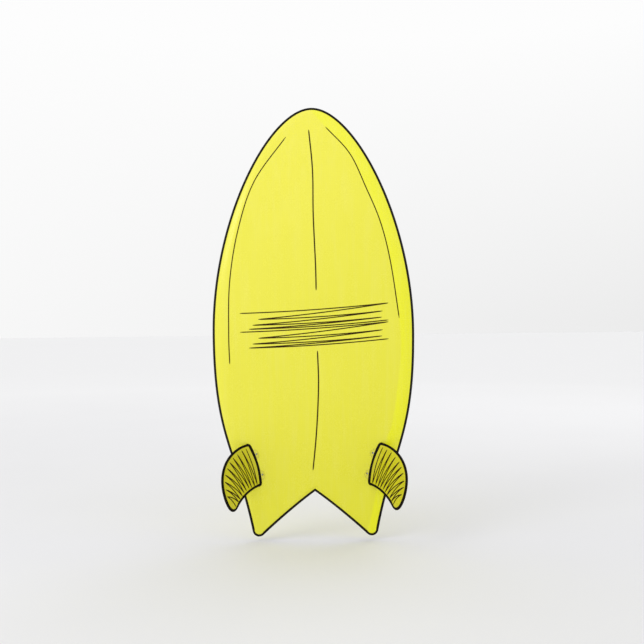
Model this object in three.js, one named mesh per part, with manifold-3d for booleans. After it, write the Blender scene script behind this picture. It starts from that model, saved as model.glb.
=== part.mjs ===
// Small twin-fin surfboard: glassed foam blank with a wooden stringer, black rail band,
// two plug-in fins held by grub screws, and a leash cup on the deck.
// Millimetres. +Z to the nose, -Y out of the bottom, +Y out of the deck, origin on the flat of the deck.
import * as THREE from 'three';
import { mergeVertices } from 'three/addons/utils/BufferGeometryUtils.js';
import Module from 'manifold-3d';

// board outline, seen square on to the bottom
const LENGTH = 1219;
const NOSE_Z = LENGTH / 2;
const HALF_WIDTH = 281.5;
const WIDE_Z = -33;
const NOSE_HANDLE = 121;
const SHOULDER_Z = 282;
const HIP_Z = -327;
const HIP_HANDLE = 250;
const TAIL_TIP = { x: 158.5, z: -588.5, radius: 18.5, outerAngle: -11, innerAngle: -133 };
const NOTCH_Z = -479;
const NOTCH_BOW = { x: 67.4, z: -528.8 };

// foil and rocker, seen from the side
const THICKNESS = 60;
const NOSE_ROCKER = 85;
const TAIL_ROCKER = 38;
const ROCKER_START_Z = -40;
const DECK_NOSE_RISE = 41;
const DECK_TAIL_DROP = 4;
const DECK_FLAT_HALF = 120;

// rails
const APEX_SHARE = 0.4;
const BOTTOM_ROLL = { least: 12, share: 0.12 };
const DECK_ROLL = 0.45;
const BAND_ON_BOTTOM = 6.5;
const BAND_ON_DECK = 5;

// spine that the ribs of the shell start from: straight up the middle, forked into the two tail tips
const SPINE_HIGH = 490;
const FORK_Z = -360;
const FORK_END = { x: 148, z: -555 };
const STEPS = { nose: 14, hip: 14, hipAboveFork: 8, tip: 6 };

// layers; cutting bars and slabs stand clear of the board
const GLASS = 1.2;
const GAP = 0.3;
const CORE_DEPTH = GLASS + GAP;
const STRINGER = 4;
const CLEAR = 12;

// fins: base line on the bottom, cant, blade and tabs
const FIN_FRONT = { x: 182.5, z: -345 };
const FIN_REAR = { x: 150.5, z: -461 };
const FIN_CANT = 40;
const FIN_ROOT_THICKNESS = 8.5;
const FIN_TIP_THICKNESS = 2.6;
const FIN_INNER_SHARE = 0.25;
const FIN_ROOT_DEPTH = 12;
const FIN_TOP = { along: 100, up: 142 };
const FOOT_FLARE = 6;
const FOOT_FADE = 7;
const FOOT_LIMIT = 8;
const TAB = { length: 18, thickness: 6.2, depth: 14, shoulder: 1, alongBase: [30, 90] };

// fin plugs, their grub screws and the dense foam block round them
const PLUG = { radius: 15, depth: 17, inboard: 5 };
const SCREW = { radius: 2.5, length: 4.9, tilt: 25, tabDepth: 12, standOff: 1.5, chamfer: 0.7 };
const HEX_KEY = { acrossFlats: 2.5, depth: 2.4 };
const FIN_BLOCK = { halfWidth: 25, depth: 23 };

// leash cup
const CUP = { x: 28, z: -400, radius: 14, rim: 16, bore: 10.5, depth: 15.5, floor: 2, rimHeight: 1.5 };
const PIN = { radius: 1.75, length: 25, depth: 6 };
const LEASH_BLOCK = { radius: 20, depth: 23 };

const wasm = await Module();
wasm.setup();

const v2 = (x, y) => new THREE.Vector2(x, y);
const v3 = (x, y, z) => new THREE.Vector3(x, y, z);
const rad = THREE.MathUtils.degToRad;

// ---------- solids ----------

function toSolid(geometry) {
  const bare = geometry.clone();
  bare.deleteAttribute('normal');
  bare.deleteAttribute('uv');
  const merged = mergeVertices(bare, 1e-4);
  const mesh = new wasm.Mesh({
    numProp: 3,
    vertProperties: new Float32Array(merged.attributes.position.array),
    triVerts: new Uint32Array(merged.index.array),
  });
  return new wasm.Manifold(mesh);
}

function toGeometry(solid) {
  const mesh = solid.getMesh();
  const geometry = new THREE.BufferGeometry();
  geometry.setAttribute('position', new THREE.BufferAttribute(new Float32Array(mesh.vertProperties), 3));
  geometry.setIndex(new THREE.BufferAttribute(new Uint32Array(mesh.triVerts), 1));
  return geometry;
}

function subtract(base, tools) {
  return toGeometry(tools.reduce((solid, tool) => solid.subtract(toSolid(tool)), toSolid(base)));
}

function intersect(a, b) {
  return toGeometry(toSolid(a).intersect(toSolid(b)));
}

function unite(parts) {
  return toGeometry(parts.map(toSolid).reduce((a, b) => a.add(b)));
}

// closed surface from a list of triangles, turned so that its faces point out
function surface(triangles) {
  const kept = triangles.filter(([a, b, c]) => {
    const area = b.clone().sub(a).cross(c.clone().sub(a)).length();
    return area > 1e-5;
  });
  const volume = kept.reduce((sum, [a, b, c]) => sum + a.dot(b.clone().cross(c)), 0);
  const facing = volume > 0 ? kept : kept.map(([a, b, c]) => [a, c, b]);
  const geometry = new THREE.BufferGeometry().setFromPoints(facing.flat());
  return mergeVertices(geometry, 1e-4);
}

function quads(rowA, rowB, closed) {
  const count = closed ? rowA.length : rowA.length - 1;
  const triangles = [];
  for (let i = 0; i < count; i += 1) {
    const j = (i + 1) % rowA.length;
    triangles.push([rowA[i], rowA[j], rowB[j]], [rowA[i], rowB[j], rowB[i]]);
  }
  return triangles;
}

function mirrored(geometry) {
  const copy = geometry.index ? geometry.clone() : mergeVertices(geometry, 1e-4);
  copy.applyMatrix4(new THREE.Matrix4().makeScale(-1, 1, 1));
  const index = copy.index.array;
  for (let i = 0; i < index.length; i += 3) {
    [index[i + 1], index[i + 2]] = [index[i + 2], index[i + 1]];
  }
  return copy;
}

// places a geometry whose own x, y, z run along the three given directions
function place(geometry, origin, x, y, z) {
  const matrix = new THREE.Matrix4().makeBasis(x, y, z).setPosition(origin);
  return geometry.applyMatrix4(matrix);
}

// ---------- board shape ----------

function bottomLine(z) {
  const nose = Math.max(0, (z - ROCKER_START_Z) / (NOSE_Z - ROCKER_START_Z));
  const tail = Math.max(0, (ROCKER_START_Z - z) / (ROCKER_START_Z + NOSE_Z));
  return NOSE_ROCKER * nose ** 2.4 + TAIL_ROCKER * tail ** 2.2 - THICKNESS;
}

function deckLine(z) {
  const run = NOSE_Z - DECK_FLAT_HALF;
  const nose = Math.max(0, (z - DECK_FLAT_HALF) / run);
  const tail = Math.max(0, (-z - DECK_FLAT_HALF) / run);
  return DECK_NOSE_RISE * nose ** 2 - DECK_TAIL_DROP * tail ** 2;
}

// curves of the right half of the outline, from the nose round the tail tip to the notch
function outlineCurves() {
  const tip = TAIL_TIP;
  const onTip = (angle) => v2(
    tip.x + tip.radius * Math.cos(rad(angle)),
    tip.z + tip.radius * Math.sin(rad(angle)),
  );
  const outer = onTip(tip.outerAngle);
  const forward = v2(-Math.sin(rad(tip.outerAngle)), Math.cos(rad(tip.outerAngle)));
  const wide = v2(HALF_WIDTH, WIDE_Z);
  return {
    nose: new THREE.CubicBezierCurve(
      v2(0, NOSE_Z), v2(NOSE_HANDLE, NOSE_Z), v2(HALF_WIDTH, SHOULDER_Z), wide),
    hip: new THREE.CubicBezierCurve(
      wide, v2(HALF_WIDTH, HIP_Z), outer.clone().addScaledVector(forward, HIP_HANDLE), outer),
    tip: new THREE.EllipseCurve(
      tip.x, tip.z, tip.radius, tip.radius, rad(tip.outerAngle), rad(tip.innerAngle), true),
    notch: new THREE.QuadraticBezierCurve(
      onTip(tip.innerAngle), v2(NOTCH_BOW.x, NOTCH_BOW.z), v2(0, NOTCH_Z)),
  };
}

// ribs of the right half: where each starts on the spine, where it meets the outline,
// and how squarely it meets it
function halfRibs() {
  const { nose, hip, tip, notch } = outlineCurves();
  const forkSteps = STEPS.hip - STEPS.hipAboveFork;
  const fork = (step) => v2(0, FORK_Z).lerp(v2(FORK_END.x, FORK_END.z), step / forkSteps);
  const ribs = [];
  const rib = (curve, share, spine) => {
    const edge = curve.getPoint(share);
    const start = spine ?? v2(0, Math.min(edge.y, SPINE_HIGH));
    const run = edge.clone().sub(start).normalize();
    ribs.push({ start, edge, square: Math.abs(run.cross(curve.getTangent(share))) });
  };
  for (let i = 0; i <= STEPS.nose; i += 1) {
    rib(nose, i / STEPS.nose);
  }
  for (let i = 1; i <= STEPS.hip; i += 1) {
    const step = i - STEPS.hipAboveFork;
    rib(hip, i / STEPS.hip, step < 0 ? null : fork(step));
  }
  for (let i = 1; i <= STEPS.tip; i += 1) {
    rib(tip, i / STEPS.tip, fork(forkSteps));
  }
  for (let i = 1; i <= forkSteps; i += 1) {
    rib(notch, i / forkSteps, fork(forkSteps - i));
  }
  return ribs;
}

// places along one rib, from the spine on the bottom round the rail to the spine on the deck;
// each is the distance in from the outline, which side it is on and how far up its roll it is
function stations(reach, square) {
  const bottomReach = BOTTOM_ROLL.least + BOTTOM_ROLL.share * reach;
  const deckReach = DECK_ROLL * reach;
  const bandBottom = Math.acos(1 - BAND_ON_BOTTOM / square / bottomReach);
  const bandDeck = Math.acos(1 - BAND_ON_DECK / square / deckReach);
  const list = [];
  const roll = (side, width, from, to, steps) => {
    for (let k = 1; k <= steps; k += 1) {
      const angle = THREE.MathUtils.lerp(from, to, k / steps);
      list.push({ side, angle, inset: width * (1 - Math.cos(angle)) });
    }
  };
  const flat = (side, from, to, steps) => {
    for (let k = 1; k <= steps; k += 1) {
      list.push({ side, angle: Math.PI / 2, inset: THREE.MathUtils.lerp(from, to, k / steps) });
    }
  };
  list.push({ side: -1, angle: Math.PI / 2, inset: reach });
  flat(-1, reach, bottomReach, 2);
  roll(-1, bottomReach, Math.PI / 2, bandBottom, 2);
  const bandStart = list.length - 1;
  roll(-1, bottomReach, bandBottom, 0, 2);
  roll(1, deckReach, 0, bandDeck, 2);
  const bandEnd = list.length - 1;
  roll(1, deckReach, bandDeck, Math.PI / 2, 3);
  flat(1, deckReach, reach, 2);
  return { list, bandStart, bandEnd };
}

function shellRay({ start, edge, square }) {
  const reach = start.distanceTo(edge);
  const { list, bandStart, bandEnd } = stations(reach, square);
  const points = list.map(({ side, angle, inset }) => {
    const spot = start.clone().lerp(edge, 1 - inset / reach);
    const bottom = bottomLine(spot.y);
    const deck = deckLine(spot.y);
    const apex = bottom + APEX_SHARE * (deck - bottom);
    const limit = side < 0 ? bottom : deck;
    return v3(spot.x, apex + (limit - apex) * Math.sin(angle), spot.y);
  });
  return { points, bandStart, bandEnd };
}

// rays all the way round the board, each with its points and the outward direction at each point
function makeShell() {
  const right = halfRibs().map(shellRay);
  const { bandStart, bandEnd } = right[0];
  const flip = (p) => v3(-p.x, p.y, p.z);
  const left = right.slice(1, -1).reverse().map((ray) => ({ points: ray.points.map(flip) }));
  const rays = [...right, ...left].map((ray) => ray.points);
  const key = (p) => [p.x, p.y, p.z].map((value) => Math.round(value * 1000)).join();
  // each point faces along the sum of its facets, and the middle of the deck says which way is out
  const outward = new Map();
  for (const [i, ray] of rays.entries()) {
    for (const [a, b, c] of quads(ray, rays[(i + 1) % rays.length], false)) {
      const facing = c.clone().sub(a).cross(b.clone().sub(a));
      for (const corner of [a, b, c]) {
        outward.set(key(corner), facing.clone().add(outward.get(key(corner)) ?? v3()));
      }
    }
  }
  const sense = Math.sign(outward.get(key(rays[0].at(-1))).y);
  const normals = rays.map((ray) => (
    ray.map((p) => outward.get(key(p)).clone().multiplyScalar(sense).normalize())));
  return { rays, normals, bandStart, bandEnd };
}

const shell = makeShell();

// the shell moved in by a depth, or out when the depth is negative
function layer(depth) {
  return shell.rays.map((ray, i) => (
    ray.map((p, k) => p.clone().addScaledVector(shell.normals[i][k], -depth))));
}

function boardBody(depth) {
  const rays = layer(depth);
  return surface(rays.flatMap((ray, i) => quads(ray, rays[(i + 1) % rays.length], false)));
}

// part of each ray from one station to another, its ends trimmed by half the seam
function trimmed(rays, from, to) {
  const shift = (a, b) => a.clone().lerp(b, GAP / 2 / a.distanceTo(b));
  return rays.map((ray) => {
    const first = from > 0 ? shift(ray[from], ray[from + 1]) : ray[from];
    const last = to < ray.length - 1 ? shift(ray[to], ray[to - 1]) : ray[to];
    return [first, ...ray.slice(from + 1, to), last];
  });
}

// one sheet of the skin: outer face, inner face and the edges at the seams
function sheet(from, to) {
  const outer = trimmed(layer(0), from, to);
  const inner = trimmed(layer(GLASS), from, to);
  const next = (i) => (i + 1) % outer.length;
  const last = shell.rays[0].length - 1;
  const triangles = [];
  for (let i = 0; i < outer.length; i += 1) {
    triangles.push(...quads(outer[i], outer[next(i)], false));
    triangles.push(...quads(inner[i], inner[next(i)], false).map((t) => t.reverse()));
  }
  if (from > 0) {
    triangles.push(...quads(outer.map((ray) => ray[0]), inner.map((ray) => ray[0]), true));
  }
  if (to < last) {
    triangles.push(...quads(inner.map((ray) => ray.at(-1)), outer.map((ray) => ray.at(-1)), true));
  }
  return surface(triangles);
}

// ---------- fins ----------

function finFrame() {
  const front = v3(FIN_FRONT.x, bottomLine(FIN_FRONT.z), FIN_FRONT.z);
  const rear = v3(FIN_REAR.x, bottomLine(FIN_REAR.z), FIN_REAR.z);
  const back = rear.clone().sub(front).normalize();
  const down = v3(0, -1, 0).addScaledVector(back, back.y).normalize();
  const side = down.clone().cross(back).normalize();
  const cant = rad(FIN_CANT);
  const blade = down.clone().multiplyScalar(Math.cos(cant)).addScaledVector(side, Math.sin(cant));
  const inner = back.clone().cross(blade);
  return { front, back, down, side, blade, inner };
}

const fin = finFrame();

// a point given by distances along the base, up the blade and towards its inner face
function finPoint(along, up, inward) {
  return fin.front.clone()
    .addScaledVector(fin.back, along)
    .addScaledVector(fin.blade, up)
    .addScaledVector(fin.inner, inward);
}

// leading and trailing edges in the plane of the blade, base to top
function finEdges() {
  const top = v2(FIN_TOP.along, FIN_TOP.up);
  const leading = new THREE.CubicBezierCurve(v2(-4, 0), v2(-16, 52), v2(0, 142), top);
  const trailing = new THREE.CurvePath();
  trailing.add(new THREE.CubicBezierCurve(v2(119, 0), v2(114, 38), v2(122, 75), v2(140, 103)));
  trailing.add(new THREE.CubicBezierCurve(v2(140, 103), v2(152, 121), v2(145, 141), top));
  return { leading, trailing };
}

// thickness of a side-fin foil along its chord, as a share of the largest, which is a third back
function foil(s) {
  return 2.6 * Math.sqrt(s) * (1 - s) * (1 - 0.25 * s);
}

function finSection(lead, trail, rise) {
  const chord = [0.03, 0.12, 0.3, 0.55, 0.78, 0.93];
  const height = THREE.MathUtils.lerp(lead.y, trail.y, 0.5);
  const thickness = THREE.MathUtils.lerp(FIN_ROOT_THICKNESS, FIN_TIP_THICKNESS, rise);
  const face = (share, start) => chord.map((s) => {
    const spot = lead.clone().lerp(trail, s);
    const flare = Math.min(FOOT_LIMIT, FOOT_FLARE * Math.exp(-(height - start) / FOOT_FADE));
    const bulge = Math.abs(share) * thickness * foil(s) + flare * Math.sin(Math.PI * s) ** 0.7;
    return finPoint(spot.x, spot.y, Math.sign(share) * bulge);
  });
  return [
    finPoint(lead.x, lead.y, 0),
    ...face(FIN_INNER_SHARE, -FOOT_FLARE),
    finPoint(trail.x, trail.y, 0),
    ...face(FIN_INNER_SHARE - 1, FOOT_FLARE).reverse(),
  ];
}

function finBlade() {
  const { leading, trailing } = finEdges();
  const front = leading.getPointAt(0);
  const rear = trailing.getPointAt(0);
  const sections = [1, 0.5, 0.1].map((share) => {
    const sunk = v2(0, -FIN_ROOT_DEPTH * share);
    return finSection(front.clone().add(sunk), rear.clone().add(sunk), 0);
  });
  for (const rise of [0.03, 0.07, 0.13, 0.22, 0.32, 0.42, 0.52, 0.62, 0.71, 0.79, 0.86, 0.92, 0.96, 0.99]) {
    sections.push(finSection(leading.getPointAt(rise), trailing.getPointAt(rise), rise));
  }
  const tip = finPoint(FIN_TOP.along, FIN_TOP.up, 0);
  const root = finPoint((front.x + rear.x) / 2, -FIN_ROOT_DEPTH, 0);
  const triangles = [];
  for (let i = 0; i + 1 < sections.length; i += 1) {
    triangles.push(...quads(sections[i], sections[i + 1], true));
  }
  const lowest = sections[0];
  const highest = sections[sections.length - 1];
  lowest.forEach((p, i) => triangles.push([root, lowest[(i + 1) % lowest.length], p]));
  highest.forEach((p, i) => triangles.push([p, highest[(i + 1) % highest.length], tip]));
  return surface(triangles);
}

// a block the size of the tab, or of its slot with a clearance, up to a height above the base line
function tabBlock(along, clearance, height) {
  const depth = TAB.depth + clearance;
  const box = new THREE.BoxGeometry(
    TAB.length + 2 * clearance, depth + height, TAB.thickness + 2 * clearance);
  box.translate(0, (height - depth) / 2, 0);
  return place(box, finPoint(along, 0, 0), fin.back, fin.blade, fin.inner);
}

function makeFin() {
  const blade = subtract(finBlade(), [boardBody(-GAP)]);
  return unite([blade, ...TAB.alongBase.map((along) => tabBlock(along, 0, -TAB.shoulder))]);
}

// a point on the line of plugs, set in from the fin base and down into the board
function plugPoint(along, depth) {
  return fin.front.clone()
    .addScaledVector(fin.back, along)
    .addScaledVector(fin.side, -PLUG.inboard)
    .addScaledVector(fin.down, -depth);
}

// a round bar square to the bottom, from a depth in the board to clear of it
function plugBar(along, radius, depth) {
  const bar = new THREE.CylinderGeometry(radius, radius, depth + CLEAR, 20);
  bar.translate(0, (CLEAR - depth) / 2, 0);
  const turn = fin.back.clone().cross(fin.down);
  return place(bar, plugPoint(along, 0), fin.back, fin.down, turn);
}

function screwFrame(along) {
  const tilt = rad(SCREW.tilt);
  const axis = fin.down.clone().multiplyScalar(Math.cos(tilt)).addScaledVector(fin.side, -Math.sin(tilt));
  const start = finPoint(along, -SCREW.tabDepth, TAB.thickness / 2);
  return { axis, start, across: fin.back.clone().cross(axis) };
}

function screwHole(along) {
  const { axis, start, across } = screwFrame(along);
  const radius = SCREW.radius + GAP;
  const bar = new THREE.CylinderGeometry(radius, radius, 2 * CLEAR, 16);
  bar.translate(0, CLEAR - SCREW.standOff, 0);
  return place(bar, start, fin.back, axis, across);
}

function makeScrew(along) {
  const { axis, start, across } = screwFrame(along);
  const r = SCREW.radius;
  const edge = SCREW.chamfer;
  const profile = [
    v2(0, 0),
    v2(r - edge, 0),
    v2(r, edge),
    v2(r, SCREW.length - edge / 2),
    v2(r - edge / 2, SCREW.length),
    v2(0, SCREW.length),
  ];
  const body = new THREE.LatheGeometry(profile, 16);
  const corner = HEX_KEY.acrossFlats / Math.sqrt(3);
  const key = new THREE.CylinderGeometry(corner, corner, HEX_KEY.depth * 2, 6);
  key.translate(0, SCREW.length, 0);
  const screw = subtract(body, [key]);
  screw.translate(0, SCREW.standOff, 0);
  return place(screw, start, fin.back, axis, across);
}

function makePlug(along) {
  const bar = intersect(plugBar(along, PLUG.radius, PLUG.depth), boardBody(0));
  return subtract(bar, [tabBlock(along, GAP, CLEAR), screwHole(along)]);
}

// racetrack block of dense foam round both plugs of one fin
function finBlockBar(grow) {
  const half = FIN_BLOCK.halfWidth + grow;
  const [first, last] = TAB.alongBase;
  const shape = new THREE.Shape();
  shape.absarc(first, 0, half, Math.PI / 2, Math.PI * 1.5, false);
  shape.absarc(last, 0, half, -Math.PI / 2, Math.PI / 2, false);
  const height = FIN_BLOCK.depth + grow + CLEAR;
  const bar = new THREE.ExtrudeGeometry(shape, { depth: height, bevelEnabled: false, curveSegments: 6 });
  const across = fin.down.clone().cross(fin.back);
  return place(bar, plugPoint(0, FIN_BLOCK.depth + grow), fin.back, across, fin.down);
}

function makeFinBlock(core) {
  const holes = TAB.alongBase.map((along) => plugBar(along, PLUG.radius + GAP, PLUG.depth + GAP));
  return subtract(intersect(finBlockBar(0), core), holes);
}

// ---------- leash cup ----------

// the rim clears the highest of the deck under it
function cupSeat() {
  const highest = Math.max(deckLine(CUP.z - CUP.rim), deckLine(CUP.z + CUP.rim));
  return v3(CUP.x, highest + GAP, CUP.z);
}

function cupBar(radius, depth) {
  const bar = new THREE.CylinderGeometry(radius, radius, depth + CLEAR, 24);
  const seat = cupSeat();
  return bar.translate(seat.x, seat.y + (CLEAR - depth) / 2, seat.z);
}

function pinBar(radius, length) {
  const seat = cupSeat();
  const bar = new THREE.CylinderGeometry(radius, radius, length, 16);
  return bar.rotateZ(Math.PI / 2).translate(seat.x, seat.y - PIN.depth, seat.z);
}

function makeCup() {
  const seat = cupSeat();
  const edge = 0.5;
  const profile = [
    v2(0, -CUP.depth),
    v2(CUP.radius - edge, -CUP.depth),
    v2(CUP.radius, edge - CUP.depth),
    v2(CUP.radius, 0),
    v2(CUP.rim, 0),
    v2(CUP.rim, CUP.rimHeight - edge),
    v2(CUP.rim - edge, CUP.rimHeight),
    v2(CUP.bore + edge, CUP.rimHeight),
    v2(CUP.bore, CUP.rimHeight - edge),
    v2(CUP.bore, CUP.floor - CUP.depth),
    v2(0, CUP.floor - CUP.depth),
  ];
  const cup = new THREE.LatheGeometry(profile, 24).translate(seat.x, seat.y, seat.z);
  return subtract(cup, [pinBar(PIN.radius + GAP, PIN.length + 2 * GAP)]);
}

function makeLeashBlock(core) {
  const block = intersect(cupBar(LEASH_BLOCK.radius, LEASH_BLOCK.depth), core);
  return subtract(block, [cupBar(CUP.radius + GAP, CUP.depth + GAP)]);
}

// ---------- blank ----------

// everything between two x values
function slab(x0, x1) {
  const box = new THREE.BoxGeometry(x1 - x0, LENGTH, 2 * LENGTH);
  return box.translate((x0 + x1) / 2, 0, 0);
}

function makeFoam(core, sign, pockets) {
  const half = slab(STRINGER / 2 + GAP, HALF_WIDTH + CLEAR);
  return subtract(intersect(core, sign > 0 ? half : mirrored(half)), pockets);
}

// ---------- assembly ----------

const finish = {
  glass: new THREE.MeshStandardMaterial({ color: 0xece753, roughness: 0.25 }),
  band: new THREE.MeshStandardMaterial({ color: 0x17130c, roughness: 0.35 }),
  foam: new THREE.MeshStandardMaterial({ color: 0xf4f3ee, roughness: 0.95 }),
  block: new THREE.MeshStandardMaterial({ color: 0x9fc4d6, roughness: 0.9 }),
  wood: new THREE.MeshStandardMaterial({ color: 0xc79a5f, roughness: 0.7 }),
  finGlass: new THREE.MeshStandardMaterial({ color: 0xccc71c, roughness: 0.3 }),
  plug: new THREE.MeshStandardMaterial({ color: 0xddd64a, roughness: 0.45 }),
  cup: new THREE.MeshStandardMaterial({ color: 0x1d1c1b, roughness: 0.5 }),
  steel: new THREE.MeshStandardMaterial({ color: 0xb9bcbe, roughness: 0.3, metalness: 1 }),
};

const board = new THREE.Group();
board.name = 'surfboard';

function add(name, geometry, material) {
  geometry.computeVertexNormals();
  const mesh = new THREE.Mesh(geometry, material);
  mesh.name = name;
  board.add(mesh);
}

// adds a right-hand piece and its mirror image on the left
function addPair(part, end, geometry, material) {
  add(`${part}_right${end}`, geometry, material);
  add(`${part}_left${end}`, mirrored(geometry), material);
}

const core = boardBody(CORE_DEPTH);
const lastStation = shell.rays[0].length - 1;
const plugHoles = TAB.alongBase.map((along) => plugBar(along, PLUG.radius + GAP, PLUG.depth + GAP));
const finPocket = finBlockBar(GAP);
const leashPocket = cupBar(LEASH_BLOCK.radius + GAP, LEASH_BLOCK.depth + GAP);

add('foam_core_right', makeFoam(core, 1, [finPocket, leashPocket]), finish.foam);
add('foam_core_left', makeFoam(core, -1, [mirrored(finPocket)]), finish.foam);
add('stringer', intersect(core, slab(-STRINGER / 2, STRINGER / 2)), finish.wood);
add('bottom_laminate', subtract(sheet(0, shell.bandStart), [
  ...plugHoles,
  ...plugHoles.map(mirrored),
]), finish.glass);
add('deck_laminate', subtract(sheet(shell.bandEnd, lastStation), [
  cupBar(CUP.radius + GAP, CUP.depth),
]), finish.glass);
add('rail_band', sheet(shell.bandStart, shell.bandEnd), finish.band);
addPair('fin_insert', '', makeFinBlock(core), finish.block);
add('leash_insert', makeLeashBlock(core), finish.block);
TAB.alongBase.forEach((along, i) => {
  const end = i === 0 ? '_front' : '_rear';
  addPair('fin_plug', end, makePlug(along), finish.plug);
  addPair('fin_screw', end, makeScrew(along), finish.steel);
});
addPair('fin', '', makeFin(), finish.finGlass);
add('leash_cup', makeCup(), finish.cup);
add('leash_pin', pinBar(PIN.radius, PIN.length), finish.steel);

export default board;
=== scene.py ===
import math
import random

import bmesh
import bpy
from mathutils import Matrix, Vector
from mathutils.bvhtree import BVHTree
from mathutils.kdtree import KDTree


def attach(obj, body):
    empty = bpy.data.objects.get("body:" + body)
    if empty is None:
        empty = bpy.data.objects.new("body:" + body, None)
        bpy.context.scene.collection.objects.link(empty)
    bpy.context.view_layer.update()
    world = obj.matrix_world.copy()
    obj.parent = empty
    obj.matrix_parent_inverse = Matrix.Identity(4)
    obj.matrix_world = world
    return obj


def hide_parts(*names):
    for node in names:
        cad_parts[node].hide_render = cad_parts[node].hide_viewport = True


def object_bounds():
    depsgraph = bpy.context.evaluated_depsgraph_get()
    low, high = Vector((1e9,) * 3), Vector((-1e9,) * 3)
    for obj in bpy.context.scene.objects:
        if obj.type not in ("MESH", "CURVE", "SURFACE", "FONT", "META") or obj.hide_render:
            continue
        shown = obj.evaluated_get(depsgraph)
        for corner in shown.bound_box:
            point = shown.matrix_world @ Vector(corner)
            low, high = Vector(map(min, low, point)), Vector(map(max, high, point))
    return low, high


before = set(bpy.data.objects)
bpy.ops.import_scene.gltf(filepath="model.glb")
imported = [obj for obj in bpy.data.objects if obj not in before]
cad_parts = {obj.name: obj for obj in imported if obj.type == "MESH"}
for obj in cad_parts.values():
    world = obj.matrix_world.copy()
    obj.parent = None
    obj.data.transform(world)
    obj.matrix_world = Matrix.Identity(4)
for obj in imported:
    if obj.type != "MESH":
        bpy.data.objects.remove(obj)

cad_low, cad_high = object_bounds()
MM = 0.001

# ---------- the board's own numbers, in millimetres; plan points are (across, up the board) ----------

# outline of the right half: nose, shoulder, widest place, hip, round tail tip and notch
NOSE_Z = cad_high.z / MM
HALF_WIDTH = cad_high.x / MM
WIDE_Z = -33
NOSE_HANDLE = 121
SHOULDER_Z = 282
HIP_Z = -327
HIP_HANDLE = 250
TIP_CENTRE = Vector((158.5, -588.5))
TIP_RADIUS = 18.5
TIP_START, TIP_END = math.radians(-11), math.radians(-133)
NOTCH_Z = -479
NOTCH_BOW = Vector((67.4, -528.8))

# side view and section: rocker, flat of the deck, apex of the rail, the roll of bottom and deck
THICKNESS = 60
NOSE_ROCKER, NOSE_ROCKER_POWER = 85, 2.4
TAIL_ROCKER, TAIL_ROCKER_POWER = 38, 2.2
ROCKER_START_Z = -40
DECK_NOSE_RISE = 41
DECK_TAIL_DROP = 4
DECK_FLAT_HALF = 120
APEX_SHARE = 0.4
BOTTOM_ROLL_LEAST = 12
BOTTOM_ROLL_SHARE = 0.12
DECK_ROLL = 0.45
BAND_ON_BOTTOM = 7.9
BAND_ON_DECK = 5
GLASS = 1.0
SEAM = 0.05
GAP = 0.3
SHARP = math.radians(35)

# ribs run from the spine, which forks into the two tail tips, out to the outline
SPINE_HIGH = 490
FORK_START = Vector((0, -360))
FORK_END = Vector((148, -555))
NOSE_RIBS = 56
HIP_RIBS = 56
FORK_RIBS = 24
TIP_RIBS = 20
# steps of a rib: (flat, roll), (below the apex, above it), (roll, flat)
BOTTOM_STEPS, BAND_STEPS, DECK_STEPS = (10, 8), (6, 5), (14, 7)

# painted light runs along this slant, paler towards the nose and the left rail,
# reaching this far either way from the middle
LIGHT_SLANT_TURN = math.radians(41)
LIGHT_SLANT_REACH = 500

# edge of the painted highlight, a brighter band inside the right-hand rail, from the nose to the tail
# tip
HIGHLIGHT_NOSE = (-12, 612)
RAIL_LINE_AND_HIGHLIGHT_EDGE = [(40, 549), (107, 470), (151, 371), (190, 271), (216, 159), (238, 4)]
HIGHLIGHT_TAIL = [(240, -110), (217, -284), (197, -340), (167, -500), (148, -584)]
HIGHLIGHT_SOFT_EDGE = 3
HIGHLIGHT_STEPS = 60

# courses of the pen lines; the scribble zigzags between its two sides and is drawn again lower down
LEFT_RAIL_LINE = [(-73, 520), (-161, 392), (-206, 256), (-230, 111), (-234, -35), (-232, -119)]
UPPER_STRINGER_LINE = [(-8, 541), (2, 422), (3, 293), (8, 154), (9, 83)]
LOWER_STRINGER_LINE = [(11, -84), (13, -168), (10, -249), (4, -332), (-5, -417)]
SCRIBBLE_LEFT = [(-203, 21), (-152, 4), (-168, -12), (-178, -23)]
SCRIBBLE_RIGHT = [(208, 46), (192, 24), (190, 7), (208, -1)]
SCRIBBLE_DROP = -52
SCRIBBLE_BOWS = (-4, 3)
STRINGER_LINE_WIDTH = 4.2
LINE_WIDTH = 3.4
LINE_HEIGHT = 0.3
LINE_TAPER = 9
LINE_END_SHARE = 0.4
# section of a bead of paint, as shares of its half width and of its height
LINE_SECTION = [(-1, -0.3), (-0.7, 0.7), (0, 1), (0.7, 0.7), (1, -0.3)]
CURVE_STEPS = 14
STROKE_STEPS = 60

# the ends of the fin's base on the board, its lean, its thickness and the inner face's share of it
FIN_FRONT = Vector((182.5, -345))
FIN_REAR = Vector((150.5, -461))
FIN_CANT = math.radians(40)
FIN_THICK_ROOT = 8.5
FIN_THICK_TIP = 2.6
FIN_INNER_SHARE = 0.25

# its outline in its own plan, (along the base from the front, up the blade), and the middle line
# that its ribs start from; the tip takes over from the trailing edge at a share of the whole
FIN_TOP_UP = 142
FIN_TOP = Vector((100, FIN_TOP_UP))
FIN_CORNER = Vector((140, 103))
FIN_LEADING = [Vector((-4, 0)), Vector((-16, 52)), Vector((0, FIN_TOP_UP)), FIN_TOP]
FIN_TRAILING = [Vector((119, 0)), Vector((114, 38)), Vector((122, 75)), FIN_CORNER]
FIN_TIP = [FIN_CORNER, Vector((152, 121)), Vector((145, 141)), FIN_TOP]
FIN_MIDDLE = [Vector((45, 0)), Vector((46, 62)), Vector((96, 106))]
FIN_TIP_FROM = 0.63
FIN_MIDDLE_TO = 0.72
FIN_RIBS = 56
FIN_LEAST_SQUARE = 0.5
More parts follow.
